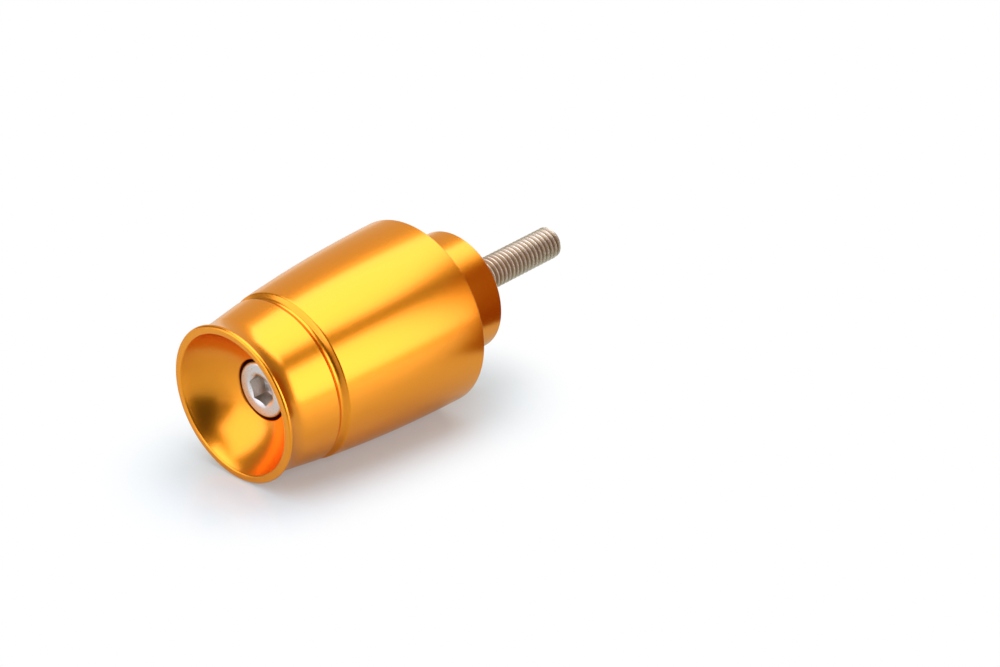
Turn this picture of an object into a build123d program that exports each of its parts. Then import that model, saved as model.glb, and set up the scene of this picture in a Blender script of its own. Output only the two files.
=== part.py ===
from build123d import *
from math import radians, tan
import os

# Bar end weight of a motorbike's handlebar: a turned body, and the long screw that holds it to the bar.
# Sizes are in millimetres. +X runs along the axis, from the dish towards the bar, and +Z is up.
# The origin is the centre of the shoulder, where the spigot meets the barrel.

# Lengths of the body, from the rim to the end of the spigot
head_length = 11.3  # rim to groove
groove_width = 1.43
barrel_length = 29.77  # groove to shoulder
spigot_length = 10.7

# Outside of the body
rim_diameter = 28.16
waist_drop = 0.43  # inside the rim, where its flare runs into the straight taper of the head
head_end_diameter = 29.23  # where the taper ends and a short slope falls to the groove
groove_slope = 32.0  # degrees off square, of the groove's side beside the barrel
barrel_start_diameter = 30.0
groove_depth = 1.13  # inside the start of the barrel
barrel_diameter = 34.0  # at the shoulder, the widest place
spigot_diameter = 22.0  # as thick as the handlebar's tube
flare_length = 4.25  # rim to waist
slope_length = 0.7  # of the short slope beside the groove
slope_drop = 0.28
barrel_bow = 0.42  # how far the barrel's curve stands out from a straight taper

# Dish and recess for the screw's head
lip_width = 1.38  # of the flat lip, if its two edges were sharp
dish_depth = 6.65  # rim to the mouth of the recess
dish_bow = 0.86  # how far the dish's curve sinks below a straight cone
recess_depth = 5.8
recess_clearance = 0.5  # round the screw's head
hole_clearance = 0.3  # round the screw's thread

# Edges and corners of the body
lip_outer_radius = 0.5
lip_inner_radius = 0.45
recess_edge_radius = 0.3
barrel_start_radius = 0.45
shoulder_edge_chamfer = 0.25
spigot_end_chamfer = 0.4
groove_head_radius = 0.15
groove_barrel_radius = 0.9

# Socket head cap screw, M6 x 65
thread_diameter = 6.0
shank_diameter = 5.9
screw_length = 65.0  # below the head
thread_length = 24.0
thread_root_diameter = 4.77
thread_runout = 0.6  # the thread's first groove, beside the plain neck
tip_chamfer = 0.65
screw_head_diameter = 10.0
screw_head_height = 6.0
screw_head_edge_radius = 0.5
under_head_radius = 0.2
hex_across_flats = 5.0
hex_depth = 3.0
hex_turn = 13.0  # degrees about the axis
hex_mouth_width = 0.25  # from the hexagon's corners out to the round edge of its bevel
hex_mouth_slope = 0.5  # depth of that bevel as a share of its width
hex_bottom_depth = 1.2  # of the cone left by the drill below the hexagon

# Stations along the axis
rim_x = -(head_length + groove_width + barrel_length)
waist_x = rim_x + flare_length
head_end_x = rim_x + head_length
barrel_start_x = head_end_x + groove_width
recess_mouth_x = rim_x + dish_depth
seat_x = recess_mouth_x + recess_depth
screw_top_x = seat_x - screw_head_height
screw_tip_x = seat_x + screw_length
runout_x = screw_tip_x - thread_length
thread_start_x = runout_x + thread_runout
hex_bottom_x = screw_top_x + hex_depth
groove_foot_x = barrel_start_x - tan(radians(groove_slope)) * groove_depth

# Radii that depend on other sizes
waist_radius = rim_diameter / 2 - waist_drop
lip_inner_edge = rim_diameter / 2 - lip_width
groove_radius = barrel_start_diameter / 2 - groove_depth
recess_radius = screw_head_diameter / 2 + recess_clearance
hole_radius = thread_diameter / 2 + hole_clearance
hex_mouth_radius = hex_across_flats / 3**0.5 + hex_mouth_width


def ring(x, radius):
    """The round edges of the part being built that lie at one station and have one radius."""
    return [
        edge
        for edge in edges().filter_by(GeomType.CIRCLE)
        if abs(edge.arc_center.X - x) < 1e-4 and abs(edge.radius - radius) < 1e-4
    ]


# Body, turned from aluminium bar in one piece. Its half section is drawn in the X-Z plane.
with BuildPart() as weight_body:
    with BuildSketch(Plane.XZ):
        with BuildLine():
            # Head: from the groove a straight taper runs to the waist, then an arc flares out to the lip's
            # outer round. The arc touches both, so for a round of radius q its own radius follows from the way
            # back to the round's centre, b, and the way out from the taper, n: (b b - q q) / 2 (q - b n).
            waist = (waist_x, waist_radius)
            taper_end = (head_end_x - slope_length, head_end_diameter / 2)
            taper = Line(taper_end, waist)
            round_centre = Vector(rim_x + lip_outer_radius, rim_diameter / 2 - lip_outer_radius)
            back = Vector(*waist) - round_centre
            outwards = (taper % 1).rotate(Axis.Z, -90)
            flare_radius = back.dot(back) - lip_outer_radius**2
            flare_radius = flare_radius / (2 * (lip_outer_radius - back.dot(outwards)))
            flare_centre = Vector(*waist) + outwards * flare_radius
            flare_end = flare_centre + (round_centre - flare_centre).normalized() * flare_radius
            flare = TangentArc(waist, flare_end, tangent=taper % 1)
            lip_outer_edge = (rim_x, rim_diameter / 2 - lip_outer_radius)
            TangentArc(flare_end, lip_outer_edge, tangent=flare % 1)
            # Groove, then the barrel's long bowed side
            barrel_start = (barrel_start_x, barrel_start_diameter / 2)
            shoulder_edge = (0, barrel_diameter / 2)
            Polyline(
                taper_end,
                (head_end_x, head_end_diameter / 2 - slope_drop),
                (head_end_x, groove_radius),
                (groove_foot_x, groove_radius),
                barrel_start,
            )
            SagittaArc(barrel_start, shoulder_edge, barrel_bow)
            # Shoulder, spigot, through hole and recess
            recess_mouth = (recess_mouth_x, recess_radius)
            Polyline(
                shoulder_edge,
                (0, spigot_diameter / 2),
                (spigot_length, spigot_diameter / 2),
                (spigot_length, hole_radius),
                (seat_x, hole_radius),
                (seat_x, recess_radius),
                recess_mouth,
            )
            # Dish and flat lip
            SagittaArc(recess_mouth, (rim_x, lip_inner_edge), -dish_bow)
            Line((rim_x, lip_inner_edge), lip_outer_edge)
        make_face()
    revolve(axis=Axis.X)
    fillet(ring(rim_x, lip_inner_edge), lip_inner_radius)
    fillet(ring(recess_mouth_x, recess_radius), recess_edge_radius)
    fillet(ring(barrel_start_x, barrel_start_diameter / 2), barrel_start_radius)
    chamfer(ring(0, barrel_diameter / 2), shoulder_edge_chamfer)
    chamfer(ring(spigot_length, spigot_diameter / 2), spigot_end_chamfer)
    fillet(ring(head_end_x, groove_radius), groove_head_radius)
    fillet(ring(groove_foot_x, groove_radius), groove_barrel_radius)
weight_body.part.label = "weight_body"

# Cap screw, with a plain neck. Its thread is a plain shank of the thread's outside diameter.
with BuildPart() as cap_screw:
    with BuildSketch(Plane.XZ):
        with BuildLine():
            # The socket is bevelled and drilled here, and gets its six sides below
            hex_mouth_depth = (hex_mouth_radius - hex_across_flats / 2) * hex_mouth_slope
            hex_mouth_foot = (screw_top_x + hex_mouth_depth, hex_across_flats / 2)
            Polyline(
                (hex_bottom_x + hex_bottom_depth, 0),
                (hex_bottom_x, hex_across_flats / 2),
                hex_mouth_foot,
                (screw_top_x, hex_mouth_radius),
                (screw_top_x, screw_head_diameter / 2),
                (seat_x, screw_head_diameter / 2),
                (seat_x, shank_diameter / 2),
                (runout_x, shank_diameter / 2),
                (runout_x, thread_root_diameter / 2),
                (thread_start_x, thread_root_diameter / 2),
                (thread_start_x, thread_diameter / 2),
                (screw_tip_x, thread_diameter / 2),
                (screw_tip_x, 0),
                close=True,
            )
        make_face()
    revolve(axis=Axis.X)
    fillet(ring(screw_top_x, screw_head_diameter / 2), screw_head_edge_radius)
    fillet(ring(seat_x, shank_diameter / 2), under_head_radius)
    chamfer(ring(screw_tip_x, thread_diameter / 2), tip_chamfer)
    with BuildSketch(Plane(origin=(screw_top_x, 0, 0), x_dir=(0, 1, 0), z_dir=(1, 0, 0))):
        RegularPolygon(hex_across_flats / 2, 6, major_radius=False, rotation=hex_turn)
    extrude(amount=hex_depth, mode=Mode.SUBTRACT)
cap_screw.part.label = "cap_screw"

os.makedirs("parts", exist_ok=True)
export_step(weight_body.part, "parts/weight_body.step")
export_step(cap_screw.part, "parts/cap_screw.step")
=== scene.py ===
import bmesh
import bpy
import numpy as np
from mathutils import Matrix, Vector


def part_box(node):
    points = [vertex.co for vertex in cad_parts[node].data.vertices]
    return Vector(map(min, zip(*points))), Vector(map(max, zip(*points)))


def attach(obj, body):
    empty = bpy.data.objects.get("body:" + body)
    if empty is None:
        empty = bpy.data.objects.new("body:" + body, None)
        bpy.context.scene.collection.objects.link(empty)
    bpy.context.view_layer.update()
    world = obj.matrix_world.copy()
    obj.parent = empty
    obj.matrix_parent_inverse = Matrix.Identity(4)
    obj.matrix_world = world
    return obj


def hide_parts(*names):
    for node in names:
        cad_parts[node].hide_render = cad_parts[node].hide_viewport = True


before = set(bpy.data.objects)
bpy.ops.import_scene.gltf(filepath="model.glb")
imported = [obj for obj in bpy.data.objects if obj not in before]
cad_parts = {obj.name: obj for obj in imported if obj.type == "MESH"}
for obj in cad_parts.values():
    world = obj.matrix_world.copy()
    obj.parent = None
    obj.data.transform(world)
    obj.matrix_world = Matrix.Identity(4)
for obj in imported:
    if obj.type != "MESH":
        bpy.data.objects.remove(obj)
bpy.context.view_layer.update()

# Weight body. It is turned from one aluminium bar: the outside, groove, spigot and hole from one end, the
# recess and the dish from the other, with every edge broken. Then it is etched satin and anodised gold.
# Sizes are in millimetres, on a half section with X along the axis and the radius beside it.
MM = 0.001
body_low, body_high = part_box("weight_body")
rim_x = body_low.x / MM
spigot_end_x = body_high.x / MM

head_length = 11.3  # rim to groove
groove_width = 1.43
flare_length = 4.25  # rim to waist
dish_depth = 6.65  # rim to the mouth of the recess
recess_depth = 5.8

rim_radius = 14.08
waist_radius = 13.65
head_end_radius = 14.615
groove_radius = 13.87
barrel_start_radius = 15.0
barrel_radius = 17.0  # at the shoulder, the widest place
spigot_radius = 11.0
hole_radius = 3.3
recess_radius = 5.5
lip_inner_radius = 12.7

barrel_bow = 0.42  # how far the barrel's curve stands out from a straight taper
dish_bow = 0.86  # how far the dish's curve sinks below a straight cone

head_end_slope_length = 0.7
head_end_slope_drop = 0.28
groove_slope = 32.0  # degrees off square, of the groove's side beside the barrel
shoulder_bevel = 0.25
spigot_bevel = 0.4
hole_bevel = 0.3
soft_edge = 0.06  # radius left on every bevel's corner by the etching
slope_edge = 0.5
groove_radii = (0.15, 0.9)  # of its corners, beside the head and beside the barrel
barrel_start_edge = 0.45
lip_radii = (0.5, 0.45)  # of the lip's outer and inner edge
recess_edge_radius = 0.3
no_round = 0.001  # where the lip's outer round has already taken the corner

waist_x = rim_x + flare_length
head_end_x = rim_x + head_length
barrel_start_x = head_end_x + groove_width
mouth_x = rim_x + dish_depth
seat_x = mouth_x + recess_depth

body_turns = 360
flare_steps = 24
lip_steps = 12
barrel_steps = 60
dish_steps = 48
corner_steps = 5


def bowed(start, end, bow, steps):
    """An arc of points from start to end that stands out to the left of the way by bow at its middle.
    Formula: chord c and bow h give the radius c * c / 8 h + h / 2, and the points lie at equal turns."""
    start = np.array(start, float)
    end = np.array(end, float)
    chord = np.hypot(*(end - start))
    along = (end - start) / chord
    left = np.array([-along[1], along[0]])
    radius = chord**2 / (8 * bow) + bow / 2
    centre = (start + end) / 2 - left * (radius - bow)
    half = np.arcsin(chord / 2 / radius)
    turn = np.linspace(-half, half, steps + 1)[:, None]
    return centre + radius * (left * np.cos(turn) + along * np.sin(turn))


def rounded(runs, radii, steps, clearance=1.05):
    """One closed outline from runs of points, each starting where the last one ends. The corner at the end
    of a run becomes an arc of its radius: for a turn of 2 a, the arc starts radius * tan(a) before the
    corner, and points of the runs that are nearer to the corner than clearance times that are dropped."""
    runs = [np.array(run, float) for run in runs]
    arcs = []
    cuts = []
    for run, following, radius in zip(runs, runs[1:] + runs[:1], radii):
        corner = run[-1]
        arriving = (corner - run[-2]) / np.hypot(*(corner - run[-2]))
        leaving = (following[1] - corner) / np.hypot(*(following[1] - corner))
        half = np.arccos(np.clip(arriving @ leaving, -1, 1)) / 2
        inwards = (leaving - arriving) / np.hypot(*(leaving - arriving))
        onwards = (leaving + arriving) / np.hypot(*(leaving + arriving))
        turn = np.linspace(-half, half, steps + 1)[:, None]
        centre = corner + inwards * radius / np.cos(half)
        arcs.append(centre + radius * (onwards * np.sin(turn) - inwards * np.cos(turn)))
        cuts.append(radius * np.tan(half) * clearance)
    kept = []
    for run, arc, cut_here, cut_before in zip(runs, arcs, cuts, cuts[-1:] + cuts[:-1]):
        past_start = np.hypot(*(run - run[0]).T) > cut_before
        before_end = np.hypot(*(run - run[-1]).T) > cut_here
        kept += [run[past_start & before_end], arc]
    return np.concatenate(kept)


def in_scene(name, data):
    """A mesh, a lamp or a camera as an object of the scene, at the origin."""
    made = bpy.data.objects.new(name, data)
    bpy.context.scene.collection.objects.link(made)
    return made


def turned(name, outline, turns):
    """A turned solid from a closed outline in mm: point (x, r) at turn t is at (x, r cos t, r sin t).
    The normal of a point leans to the longer of its two runs, so that flats stay flat up to their edges."""
    turn = np.arange(turns) * 2 * np.pi / turns
    ring = np.stack([np.zeros(turns), np.cos(turn), np.sin(turn)], 1)
    points = outline[:, None, :1] * [1, 0, 0] + outline[:, None, 1:] * ring
    runs = np.roll(outline, -1, 0) - outline
    leaning = np.stack([-runs[:, 1], runs[:, 0]], 1)
    leaning = leaning + np.roll(leaning, 1, 0)
    leaning = leaning / np.hypot(*leaning.T)[:, None]
    normals = leaning[:, None, :1] * [1, 0, 0] + leaning[:, None, 1:] * ring
    index = np.arange(len(outline) * turns).reshape(len(outline), turns)
    next_turn = np.roll(index, -1, 1)
    faces = np.stack([index, next_turn, np.roll(next_turn, -1, 0), np.roll(index, -1, 0)], 2)
    mesh = bpy.data.meshes.new(name)
    mesh.from_pydata(points.reshape(-1, 3) * MM, [], faces.reshape(-1, 4))
    mesh.shade_smooth()
    mesh.normals_split_custom_set_from_vertices(normals.reshape(-1, 3))
    return in_scene(name, mesh)


# The flare is an arc that touches the taper at the waist and the lip's outer round. With n square to the
# taper and d from the round's centre to the waist, its radius is (d d - q q) / 2 (q - d n) for a round of
# radius q.
outer_round = lip_radii[0]
waist = np.array([waist_x, waist_radius])
slope_start = np.array([head_end_x - head_end_slope_length, head_end_radius])
taper = (slope_start - waist) / np.hypot(*(slope_start - waist))
outwards = np.array([-taper[1], taper[0]])
round_centre = np.array([rim_x + outer_round, rim_radius - outer_round])
to_waist = waist - round_centre
flare_radius = (to_waist @ to_waist - outer_round**2) / (2 * (outer_round - to_waist @ outwards))
flare_centre = waist + flare_radius * outwards
to_round = (round_centre - flare_centre) / np.hypot(*(round_centre - flare_centre))
flare_end = flare_centre + flare_radius * to_round
flare_bow = flare_radius * (1 - np.cos(np.arccos(-to_round @ outwards) / 2))
flare = bowed(flare_end, waist, -flare_bow, flare_steps)
lip_bow = outer_round * (1 - np.cos(np.arccos(to_round[0]) / 2))
outer_lip = bowed((rim_x, rim_radius - outer_round), flare_end, lip_bow, lip_steps)

# Corners of the half section, from the head's end round by the spigot to the lip
slope_end = (head_end_x, head_end_radius - head_end_slope_drop)
groove_start = (head_end_x, groove_radius)
groove_drop = barrel_start_radius - groove_radius
groove_foot = (barrel_start_x - np.tan(np.radians(groove_slope)) * groove_drop, groove_radius)
barrel_start = (barrel_start_x, barrel_start_radius)
barrel_end = (-shoulder_bevel, barrel_radius)
shoulder_edge = (0, barrel_radius - shoulder_bevel)
spigot_root = (0, spigot_radius)
spigot_side = (spigot_end_x - spigot_bevel, spigot_radius)
spigot_edge = (spigot_end_x, spigot_radius - spigot_bevel)
hole_edge = (spigot_end_x, hole_radius + hole_bevel)
hole_start = (spigot_end_x - hole_bevel, hole_radius)
hole_end = (seat_x, hole_radius)
seat_corner = (seat_x, recess_radius)
mouth_edge = (mouth_x, recess_radius)
lip_inner = (rim_x, lip_inner_radius)

# Each run of the outline, with the radius of the corner at its end
runs_and_radii = [
    (np.vstack([outer_lip[:-1], flare, [slope_start]]), slope_edge),
    ([slope_start, slope_end], soft_edge),
    ([slope_end, groove_start], groove_radii[0]),
    ([groove_start, groove_foot], groove_radii[1]),
    ([groove_foot, barrel_start], barrel_start_edge),
    (bowed(barrel_start, barrel_end, barrel_bow, barrel_steps), soft_edge),
    ([barrel_end, shoulder_edge], soft_edge),
    ([shoulder_edge, spigot_root], soft_edge),
    ([spigot_root, spigot_side], soft_edge),
    ([spigot_side, spigot_edge], soft_edge),
    ([spigot_edge, hole_edge], soft_edge),
    ([hole_edge, hole_start], soft_edge),
    ([hole_start, hole_end], soft_edge),
    ([hole_end, seat_corner], soft_edge),
    ([seat_corner, mouth_edge], recess_edge_radius),
    (bowed(mouth_edge, lip_inner, -dish_bow, dish_steps), lip_radii[1]),
    ([lip_inner, outer_lip[0]], no_round),
]
outline = rounded(
    [run for run, _ in runs_and_radii], [radius for _, radius in runs_and_radii], corner_steps
)
body = turned("weight_body_turned", outline, body_turns)


def linear(hex_colour):
    """A colour written as sRGB hex, as the linear red, green, blue and alpha that a shader takes."""
    srgb = np.array([int(hex_colour[i : i + 2], 16) for i in (1, 3, 5)]) / 255
    return (*np.where(srgb <= 0.04045, srgb / 12.92, ((srgb + 0.055) / 1.055) ** 2.4), 1.0)


def add_node(tree, kind, inputs=None, **settings):
    """One node of a material or of the world. An input takes a number, a colour or a node's output."""
    made = tree.nodes.new(kind)
    for name, value in settings.items():
        setattr(made, name, value)
    for name, value in (inputs or {}).items():
        if isinstance(value, bpy.types.NodeSocket):
            tree.links.new(value, made.inputs[name])
        else:
            made.inputs[name].default_value = value
    return made


def new_material(name):
    """An empty material, and its node tree."""
    material = bpy.data.materials.new(name)
    material.use_nodes = True
    material.node_tree.nodes.clear()
    return material, material.node_tree


# Anodised aluminium: a deep orange-gold dye in a clear oxide skin over satin metal. The metal gives the
# colour and its soft highlights, the skin a thin pale gloss on top, and the turning leaves fine rings that a
# hand would not feel.
gold_metal = "#F6950A"
edge_tint = (1.0, 0.88, 0.55, 1.0)  # keeps the metal warm at a grazing angle, where it would turn white
satin = 0.26  # roughness of the etched metal
satin_change = 0.005  # more or less than that, from one turning mark to the next
skin_weight = 0.5
skin_gloss = 0.2  # roughness of the oxide skin
skin_ior = 1.5
feed = 0.1 * MM  # width of a turning mark
mark_height = 0.001 * MM
mark_strength = 0.02
mark_detail = 2.0
noise_falloff = 0.6  # how much each finer layer of a noise still counts
noise_span = (0.3, 0.7)  # most of a noise lies between these two

anodised, tree = new_material("anodised_aluminium_satin_gold")
place = add_node(tree, "ShaderNodeTexCoord").outputs["Object"]
off_axis = add_node(tree, "ShaderNodeMapping", {"Vector": place, "Scale": (0, 1, 1)})
from_axis = add_node(tree, "ShaderNodeVectorMath", {0: off_axis.outputs[0]}, operation="LENGTH")
station = add_node(tree, "ShaderNodeSeparateXYZ", {0: place})
travel = add_node(
    tree,
    "ShaderNodeMath",
    {0: from_axis.outputs["Value"], 1: station.outputs["X"]},
    operation="SUBTRACT",
)
marks = add_node(
    tree,
    "ShaderNodeTexNoise",
    {"W": travel.outputs[0], "Scale": 1 / feed, "Detail": mark_detail, "Roughness": noise_falloff},
    noise_dimensions="1D",
)
mark_bump = add_node(
    tree,
    "ShaderNodeBump",
    {"Height": marks.outputs[0], "Distance": mark_height, "Strength": mark_strength},
)
mark_gloss = add_node(
    tree,
    "ShaderNodeMapRange",
    {
        "Value": marks.outputs[0],
        "From Min": noise_span[0],
        "From Max": noise_span[1],
        "To Min": satin - satin_change,
        "To Max": satin + satin_change,
    },
)
metal = add_node(
    tree,
    "ShaderNodeBsdfPrincipled",
    {
        "Base Color": linear(gold_metal),
        "Metallic": 1.0,
        "Roughness": mark_gloss.outputs[0],
        "Normal": mark_bump.outputs[0],
        "Specular Tint": edge_tint,
        "Coat Weight": skin_weight,
        "Coat Roughness": skin_gloss,
        "Coat IOR": skin_ior,
    },
)
add_node(tree, "ShaderNodeOutputMaterial", {"Surface": metal.outputs[0]})

body.data.materials.append(anodised)
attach(body, "root")
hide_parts("weight_body")

# Cap screw. A stainless M6 x 65: the head is cold forged with its hexagon, then its rim and bearing face
# are turned, and the right-hand thread is rolled, which leaves its crests and roots round.
# It goes in from the dish and its head seats on the floor of the recess.
screw_low, screw_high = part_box("cap_screw")
screw_top_x = screw_low.x / MM
screw_tip_x = screw_high.x / MM

head_radius = 5.0
head_edge_radius = 0.5
heel_radius = 0.1  # of the bearing face's outer edge
under_head_radius = 0.2
fillet_middle = 0.3  # share of that radius by which its middle stands off the neck and the head
neck_radius = 2.95
hex_half_width = 2.5
hex_depth = 3.0
hex_turn = np.radians(13.0)
hex_mouth_width = 0.25  # of the mouth's bevel beyond the hexagon's corners
hex_mouth_slope = 0.5  # depth of the mouth's bevel as a share of its width
hex_mouth_land = 0.1  # flat ring round the mouth, which keeps its edge crisp
hex_bottom_depth = 1.2
thread_length = 24.0
pitch = 1.0
crest_radius = 2.975
root_radius = 2.387
crest_flat = pitch / 8
crest_fill = 0.06  # widens the crest, which the rounding then narrows again
tip_radius = 2.35
run_out = 1.2  # length over which the first turns of the thread grow to full depth

screw_turns = 72
turn_steps = 14  # points across one pitch of the thread
edge_steps = 6
heel_steps = 3
same_place = 1e-7  # metres: points nearer than this are one point
sharp_angle = np.radians(35)

screw_turn = hex_turn + np.arange(screw_turns) * 2 * np.pi / screw_turns
thread_x = screw_tip_x - thread_length
hex_bottom_x = screw_top_x + hex_depth
hex_mouth_radius = hex_half_width / np.cos(np.pi / 6) + hex_mouth_width
from_corner = (screw_turn - hex_turn) % (np.pi / 3) - np.pi / 6
hex_radius = hex_half_width / np.cos(from_corner)


def rings(stations, radii):
    """Rings of the screw as an array of rings by turns by (x, r). A station or radius is one number for the
    whole ring, or one for each turn, as at the hexagon."""
    pairs = [np.broadcast_arrays(x, r, screw_turn)[:2] for x, r in zip(stations, radii)]
    return np.stack([np.stack(pair, 1) for pair in pairs])


def quarter(x, r, size, start, steps):
    """Stations and radii of a quarter round about (x, r): (x + size cos a, r + size sin a), where the angle
    a falls from start, in degrees, by a right angle."""
    angle = np.radians(start) - np.linspace(0, np.pi / 2, steps + 1)
    return list(x + size * np.cos(angle)), list(r + size * np.sin(angle))


edge_x, edge_r = quarter(
    screw_top_x + head_edge_radius, head_radius - head_edge_radius, head_edge_radius, 180, edge_steps
)
heel_x, heel_r = quarter(seat_x - heel_radius, head_radius - heel_radius, heel_radius, 90, heel_steps)
head_stations = [
    hex_bottom_x + hex_bottom_depth / 2,
    hex_bottom_x,
    hex_bottom_x,
    screw_top_x + (hex_mouth_radius - hex_radius) * hex_mouth_slope,
    screw_top_x,
    screw_top_x,
    *edge_x,
    *heel_x,
    seat_x,
    seat_x + under_head_radius * fillet_middle,
    seat_x + under_head_radius,
]
head_radii = [
    hex_half_width / 2,
    hex_half_width,
    hex_radius,
    hex_radius,
    hex_mouth_radius,
    hex_mouth_radius + hex_mouth_land,
    *edge_r,
    *heel_r,
    neck_radius + under_head_radius,
    neck_radius + under_head_radius * fillet_middle,
    neck_radius,
]
head_part = rings(head_stations, head_radii)

# Thread: across one pitch the radius is crest, flank, root, flank, each flank 30 degrees off square, and
# the rings follow the helix: ring j at turn t lies at thread_x + pitch * (j / turn_steps + t / 2 pi - 1).
across_pitch = np.arange(turn_steps) / turn_steps
from_crest = np.abs((across_pitch + 0.5) % 1 - 0.5) * pitch
flank = crest_radius + crest_fill - (from_crest - crest_flat / 2) / np.tan(np.pi / 6)
depth_radius = np.clip(flank, root_radius, crest_radius)
depth_radius = (2 * depth_radius + np.roll(depth_radius, 1) + np.roll(depth_radius, -1)) / 4
ring_count = int(turn_steps * (1 + thread_length / pitch)) + 1
ring_number = np.arange(ring_count)[:, None]
helix = ring_number / turn_steps + np.arange(screw_turns) / screw_turns - 1
thread_stations = np.clip(thread_x + pitch * helix, thread_x, screw_tip_x)
grown = np.clip((thread_stations - thread_x) / run_out, 0, 1)
grown = grown * grown * (3 - 2 * grown)
thread_radii = neck_radius + (depth_radius[ring_number % turn_steps] - neck_radius) * grown
thread_radii = np.minimum(thread_radii, tip_radius + screw_tip_x - thread_stations)
thread_part = np.stack([thread_stations, thread_radii], 2)
tip_part = rings([screw_tip_x], [tip_radius / 2])

# At the seam after the last turn, a thread ring joins the ring one pitch further on.
parts = np.concatenate([head_part, thread_part, tip_part])
part_x, part_r = np.moveaxis(parts, 2, 0)
ring_points = np.stack([part_x, part_r * np.cos(screw_turn), part_r * np.sin(screw_turn)], 2).reshape(-1, 3)
ring_total = len(parts)
ring_index = np.arange(ring_total * screw_turns).reshape(ring_total, screw_turns)
first_thread = len(head_part)
last_thread = first_thread + ring_count - 1
row = np.arange(ring_total)
in_thread = (row >= first_thread) & (row <= last_thread)
seam_row = np.where(in_thread, np.minimum(row + turn_steps, last_thread), row)
turned_on = np.hstack([ring_index[:, 1:], ring_index[seam_row, :1]])
ring_faces = np.stack([ring_index[:-1], turned_on[:-1], turned_on[1:], ring_index[1:]], 2).reshape(-1, 4)
poles = np.array([[hex_bottom_x + hex_bottom_depth, 0, 0], [screw_tip_x, 0, 0]])
socket_pole = np.full(screw_turns, len(ring_points))
tip_pole = socket_pole + 1
socket_faces = np.stack([socket_pole, np.roll(ring_index[0], -1), ring_index[0]], 1)
tip_faces = np.stack([ring_index[-1], np.roll(ring_index[-1], -1), tip_pole], 1)

screw_mesh = bpy.data.meshes.new("cap_screw_threaded")
screw_points = np.vstack([ring_points, poles]) * MM
screw_faces = ring_faces.tolist() + socket_faces.tolist() + tip_faces.tolist()
screw_mesh.from_pydata(screw_points.tolist(), [], screw_faces)
shell = bmesh.new()
shell.from_mesh(screw_mesh)
bmesh.ops.remove_doubles(shell, verts=shell.verts, dist=same_place)
bmesh.ops.dissolve_degenerate(shell, edges=shell.edges, dist=same_place)
shell.to_mesh(screw_mesh)
shell.free()
screw_mesh.shade_smooth()
screw_mesh.set_sharp_from_angle(angle=sharp_angle)
screw = in_scene("cap_screw_threaded", screw_mesh)

# Stainless steel, rolled and forged, then tumbled bright: warm grey, with a soft grain from the tumbling.
# The tumbling hardly reaches into the thread, so its crests are duller than the head. Its roots are painted
# dark brown: painted shade in the grooves, warmed by a painted reflection of the gold.
steel_colour = "#DAD2C8"
crest_colour = "#D2C6AC"
# painted shade in the thread's grooves, in a warm brown
painted_root_shade = "#9E8868"
steel_roughness = 0.3
steel_change = 0.04  # more or less than that, from grain to grain
thread_dullness = 0.14  # roughness of the thread beyond the head's
grain = 0.25 * MM
grain_height = 0.01 * MM
grain_strength = 0.15
grain_detail = 3.0

stainless, tree = new_material("stainless_steel_tumbled")
place = add_node(tree, "ShaderNodeTexCoord").outputs["Object"]
speckle = add_node(
    tree,
    "ShaderNodeTexNoise",
    {"Vector": place, "Scale": 1 / grain, "Detail": grain_detail, "Roughness": noise_falloff},
)
grain_bump = add_node(
    tree,
    "ShaderNodeBump",
    {"Height": speckle.outputs[0], "Distance": grain_height, "Strength": grain_strength},
)
grain_gloss = add_node(
    tree,
    "ShaderNodeMapRange",
    {
        "Value": speckle.outputs[0],
        "From Min": noise_span[0],
        "From Max": noise_span[1],
        "To Min": steel_roughness - steel_change,
        "To Max": steel_roughness + steel_change,
    },
)
station = add_node(tree, "ShaderNodeSeparateXYZ", {0: place})
off_axis = add_node(tree, "ShaderNodeMapping", {"Vector": place, "Scale": (0, 1, 1)})
from_axis = add_node(tree, "ShaderNodeVectorMath", {0: off_axis.outputs[0]}, operation="LENGTH")
on_crest = add_node(
    tree,
    "ShaderNodeMapRange",
    {
        "Value": from_axis.outputs["Value"],
        "From Min": root_radius * MM,
        "From Max": crest_radius * MM,
    },
    interpolation_type="SMOOTHSTEP",
)
on_thread = add_node(
    tree,
    "ShaderNodeMath",
    {0: station.outputs["X"], 1: thread_x * MM},
    operation="GREATER_THAN",
)
# Painted shade: the thread's colour darkens from its crests to the brown of its roots.
thread_steel_and_shade = add_node(
    tree,
    "ShaderNodeMix",
    {0: on_crest.outputs[0], 6: linear(painted_root_shade), 7: linear(crest_colour)},
    data_type="RGBA",
)
screw_colour = add_node(
    tree,
    "ShaderNodeMix",
    {0: on_thread.outputs[0], 6: linear(steel_colour), 7: thread_steel_and_shade.outputs[2]},
    data_type="RGBA",
)
screw_gloss = add_node(
    tree,
    "ShaderNodeMath",
    {0: on_thread.outputs[0], 1: thread_dullness, 2: grain_gloss.outputs[0]},
    operation="MULTIPLY_ADD",
)
steel = add_node(
    tree,
    "ShaderNodeBsdfPrincipled",
    {
        "Base Color": screw_colour.outputs[2],
        "Metallic": 1.0,
        "Roughness": screw_gloss.outputs[0],
        "Normal": grain_bump.outputs[0],
    },
)
add_node(tree, "ShaderNodeOutputMaterial", {"Surface": steel.outputs[0]})

screw.data.materials.append(stainless)
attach(screw, "root")
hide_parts("cap_screw")

# Table. A satin white board on which the part lies, touching it with its rim and the edge of its shoulder.
# The camera sees the part's shadow on it for a finger's breadth on either side, and plain white beyond.
# The metal sees it turn plain white further out. From here on lengths are in metres.
table_size = 6.0
table_tilt = np.arctan2(barrel_radius - rim_radius, -rim_x - outer_round)
shadow_line = (-0.038, 0.0)  # along the axis
shadow_reach = (0.012, 0.028)  # away from that line, where the shadow fades out
mirror_reach = (0.10, 0.28)  # away from the origin, where the mirrored board turns plain white

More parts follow.
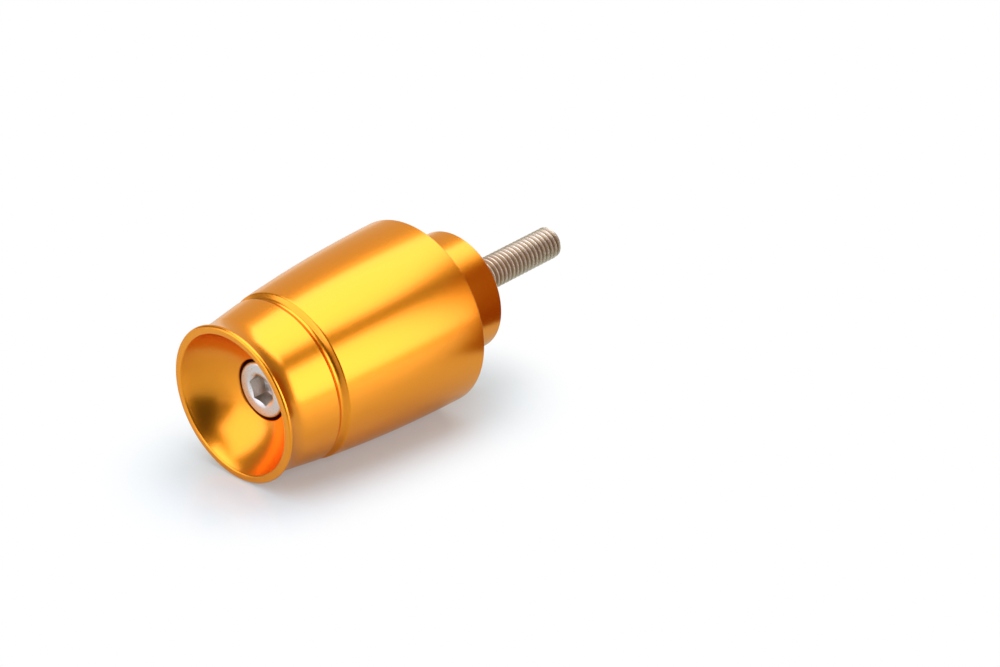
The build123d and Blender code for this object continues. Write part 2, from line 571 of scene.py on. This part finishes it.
table_corners = np.array([[-1, -1], [1, -1], [1, 1], [-1, 1]]) * table_size / 2
table_heights = -barrel_radius * MM - table_corners[:, 0] * np.tan(table_tilt)
table_mesh = bpy.data.meshes.new("table")
table_mesh.from_pydata(np.column_stack([table_corners, table_heights]).tolist(), [], [[0, 1, 2, 3]])
table = in_scene("table", table_mesh)

# White board with a satin varnish: a cool pale grey that looks neutral under the lamps, with a soft
# reflection of the part. It glows a little by itself, so that the shadow stays pale.
board_colour = "#B7C3BC"
board_gloss = 0.25  # roughness
board_ior = 1.5
seen_glow = 0.2  # for the camera
mirrored_glow = 0.09  # for the metal
plain_white = (1.0, 1.0, 1.0, 1.0)

board, tree = new_material("white_board_satin")
place = add_node(tree, "ShaderNodeTexCoord").outputs["Object"]
ray = add_node(tree, "ShaderNodeLightPath")
seen = ray.outputs["Is Camera Ray"]
mirrored = add_node(
    tree,
    "ShaderNodeMath",
    {0: ray.outputs["Is Glossy Ray"], 1: ray.outputs["Is Transmission Ray"]},
    operation="MAXIMUM",
)
from_origin = add_node(tree, "ShaderNodeVectorMath", {0: place}, operation="LENGTH")
far_off = add_node(
    tree,
    "ShaderNodeMapRange",
    {
        "Value": from_origin.outputs["Value"],
        "From Min": mirror_reach[0],
        "From Max": mirror_reach[1],
    },
    interpolation_type="SMOOTHSTEP",
)
mirrored_white = add_node(
    tree,
    "ShaderNodeMath",
    {0: mirrored.outputs[0], 1: far_off.outputs[0]},
    operation="MULTIPLY",
)
spot = add_node(tree, "ShaderNodeSeparateXYZ", {0: place})
beside = add_node(
    tree,
    "ShaderNodeClamp",
    {"Value": spot.outputs["X"], "Min": shadow_line[0], "Max": shadow_line[1]},
)
past_line = add_node(
    tree,
    "ShaderNodeMath",
    {0: spot.outputs["X"], 1: beside.outputs[0]},
    operation="SUBTRACT",
)
off_line = add_node(tree, "ShaderNodeCombineXYZ", {"X": past_line.outputs[0], "Y": spot.outputs["Y"]})
from_line = add_node(tree, "ShaderNodeVectorMath", {0: off_line.outputs[0]}, operation="LENGTH")
past_shadow = add_node(
    tree,
    "ShaderNodeMapRange",
    {
        "Value": from_line.outputs["Value"],
        "From Min": shadow_reach[0],
        "From Max": shadow_reach[1],
    },
    interpolation_type="SMOOTHSTEP",
)
white_share = add_node(
    tree,
    "ShaderNodeMath",
    {0: seen, 1: past_shadow.outputs[0], 2: mirrored_white.outputs[0]},
    operation="MULTIPLY_ADD",
)
glow_seen = add_node(tree, "ShaderNodeMath", {0: seen, 1: seen_glow}, operation="MULTIPLY")
board_glow = add_node(
    tree,
    "ShaderNodeMath",
    {0: mirrored.outputs[0], 1: mirrored_glow, 2: glow_seen.outputs[0]},
    operation="MULTIPLY_ADD",
)
varnished = add_node(
    tree,
    "ShaderNodeBsdfPrincipled",
    {
        "Base Color": linear(board_colour),
        "Roughness": board_gloss,
        "IOR": board_ior,
        "Emission Color": plain_white,
        "Emission Strength": board_glow.outputs[0],
    },
)
white = add_node(tree, "ShaderNodeEmission", {"Strength": 1.0})
whole_board = add_node(
    tree,
    "ShaderNodeMixShader",
    {0: white_share.outputs[0], 1: varnished.outputs[0], 2: white.outputs[0]},
)
add_node(tree, "ShaderNodeOutputMaterial", {"Surface": whole_board.outputs[0]})
table.data.materials.append(board)

# Lamps. Three plain softboxes round the part: one overhead, one upright on its right, one before the dish.
# Each has its middle, the way it faces, its roll in degrees, its width and height, and its brightness.
softboxes = {
    "overhead": dict(
        middle=(0.118, 0.062, 0.62),
        facing=(0, 0, -1),
        roll=-21,
        size=(0.895, 0.706),
        brightness=2.6,
    ),
    "right": dict(
        middle=(0.111, -0.62, 0.258),
        facing=(0, 1, 0),
        roll=0,
        size=(0.66, 0.56),
        brightness=2.7,
    ),
    "front": dict(
        middle=(-0.560, 0.174, 0.289),
        facing=(0.860, -0.347, -0.375),
        roll=-18,
        size=(0.66, 0.68),
        brightness=1.9,
    ),
}
lamp_scale = np.pi  # an area lamp this strong for each square metre has a brightness of 1
lamp_colour = (0.95, 0.96, 1.25)  # cool daylight
steep = 0.9  # a lamp that faces up or down by more than this has its width along X before its roll


def standing(right, up, back, middle):
    """The place of a lamp or a camera: its X, Y and Z axes lie along right, up and back, from its middle."""
    columns = np.column_stack([right, up, back, middle])
    return Matrix([*columns.tolist(), [0, 0, 0, 1]])


for name, box in softboxes.items():
    lamp = bpy.data.lights.new(name, "AREA")
    lamp.shape = "RECTANGLE"
    lamp.size, lamp.size_y = box["size"]
    lamp.color = lamp_colour
    lamp.energy = box["brightness"] * lamp.size * lamp.size_y * lamp_scale
    lamp_back = -np.array(box["facing"], float) / np.linalg.norm(box["facing"])
    sideways = np.array((1.0, 0, 0)) if abs(lamp_back[2]) > steep else np.cross((0, 0, 1), lamp_back)
    sideways = sideways / np.linalg.norm(sideways)
    upright = np.cross(lamp_back, sideways)
    roll = np.radians(box["roll"])
    lamp_right = sideways * np.cos(roll) + upright * np.sin(roll)
    lamp_up = upright * np.cos(roll) - sideways * np.sin(roll)
    softbox = in_scene(name, lamp)
    softbox.matrix_world = standing(lamp_right, lamp_up, lamp_back, box["middle"])
    softbox.visible_camera = False

# Cards. Two small glowing cards that only the metal sees, without shadows. They are no lamps and paint
# reflections: a bronze one, bent to a cone, paints a warm dark reflection along the spigot, and a black one
# before the camera paints a dark reflection at the dish's edge. Each has its middle, its arc in degrees, the
# heights and radii of its foot and its top, and its glow.
cards = {
    "bronze_reflection_card": dict(
        middle=(0.037, -0.036),
        arc=(0, 360),
        heights=(-0.018, 0.035),
        radii=(0.022, 0.017),
        glow=(0.26, 0.08, 0.015, 1.0),
    ),
    "black_reflection_card": dict(
        middle=(-0.04, 0.0),
        arc=(205, 240),
        heights=(-0.013, 0.11),
        radii=(0.10, 0.10),
        glow=(0.05, 0.05, 0.05, 1.0),
    ),
}
card_steps = 48  # along the arc

for name, bent in cards.items():
    card_turn = np.radians(np.linspace(*bent["arc"], card_steps + 1))
    card_turn, card_radius = np.meshgrid(card_turn, bent["radii"])
    card_x = bent["middle"][0] + card_radius * np.cos(card_turn)
    card_y = bent["middle"][1] + card_radius * np.sin(card_turn)
    card_z = np.broadcast_to(np.array(bent["heights"])[:, None], card_x.shape)
    card_points = np.stack([card_x, card_y, card_z], 2).reshape(-1, 3)
    foot, top = np.arange(card_x.size).reshape(card_x.shape)
    card_faces = np.stack([foot[:-1], foot[1:], top[1:], top[:-1]], 1)
    card_mesh = bpy.data.meshes.new(name)
    card_mesh.from_pydata(card_points.tolist(), [], card_faces.tolist())
    card_mesh.shade_smooth()
    card = in_scene(name, card_mesh)
    card.visible_camera = False
    card.visible_shadow = False
    card.visible_diffuse = False
    # Each card only glows, in its own colour: a painted reflection, not a lamp.
    painted_reflection_material, tree = new_material(name + "_glowing")
    card_glow = add_node(tree, "ShaderNodeEmission", {"Color": bent["glow"], "Strength": 1.0})
    add_node(tree, "ShaderNodeOutputMaterial", {"Surface": card_glow.outputs[0]})
    card.data.materials.append(painted_reflection_material)

# Studio. The camera sees plain white all round. The metal sees a dim, warm room, with a paler backdrop
# behind the part that fades out into it.
backdrop_way = (0.63, 0.73, 0.26)  # towards its middle
backdrop_edge = (0.72, 0.84)  # cosines from that way, of its faded edge and of its full part
backdrop_level = 0.72
room_level = 0.30
room_tint = (1.0, 0.95, 0.82, 1.0)

world = bpy.data.worlds.new("studio")
bpy.context.scene.world = world
world.use_nodes = True
tree = world.node_tree
tree.nodes.clear()
way = add_node(tree, "ShaderNodeTexCoord").outputs["Generated"]
to_backdrop = add_node(
    tree, "ShaderNodeVectorMath", {0: way, 1: backdrop_way}, operation="DOT_PRODUCT"
)
room = add_node(
    tree,
    "ShaderNodeMapRange",
    {
        "Value": to_backdrop.outputs["Value"],
        "From Min": backdrop_edge[0],
        "From Max": backdrop_edge[1],
        "To Min": room_level,
        "To Max": backdrop_level,
    },
    interpolation_type="SMOOTHSTEP",
)
seen = add_node(tree, "ShaderNodeLightPath").outputs["Is Camera Ray"]
studio_level = add_node(tree, "ShaderNodeMix", {0: seen, 2: room.outputs[0], 3: 1.0}, data_type="FLOAT")
studio_tint = add_node(tree, "ShaderNodeMix", {0: seen, 6: room_tint, 7: plain_white}, data_type="RGBA")
studio = add_node(
    tree, "ShaderNodeBackground", {"Color": studio_tint.outputs[2], "Strength": studio_level.outputs[0]}
)
add_node(tree, "ShaderNodeOutputWorld", {"Surface": studio.outputs[0]})

# Camera. A long lens half a metre off, which looks down on the dish and along the part's right side.
# Its upright leans nearly as far as the table, which slopes because the rim is thinner than the shoulder.
camera_place = np.array([-305.4, -325.05, 232.04]) * MM
sight = np.array([0.6253, 0.6232, -0.4698])
camera_level = np.radians(3.75)  # turn of the camera's upright from Z, about Y
film_width = 36.0  # mm
lens = 104.4  # mm
nearest = 0.01  # it sees from here
farthest = 20.0  # to here

camera_right = np.cross(sight, [np.sin(camera_level), 0, np.cos(camera_level)])
camera_right = camera_right / np.linalg.norm(camera_right)
camera_up = np.cross(camera_right, sight)
camera_data = bpy.data.cameras.new("camera")
camera_data.sensor_width = film_width
camera_data.lens = lens
camera_data.clip_start = nearest
camera_data.clip_end = farthest
camera = in_scene("camera", camera_data)
camera.matrix_world = standing(camera_right, camera_up, -sight, camera_place)
bpy.context.scene.camera = camera
bpy.context.scene.view_settings.view_transform = "Standard"
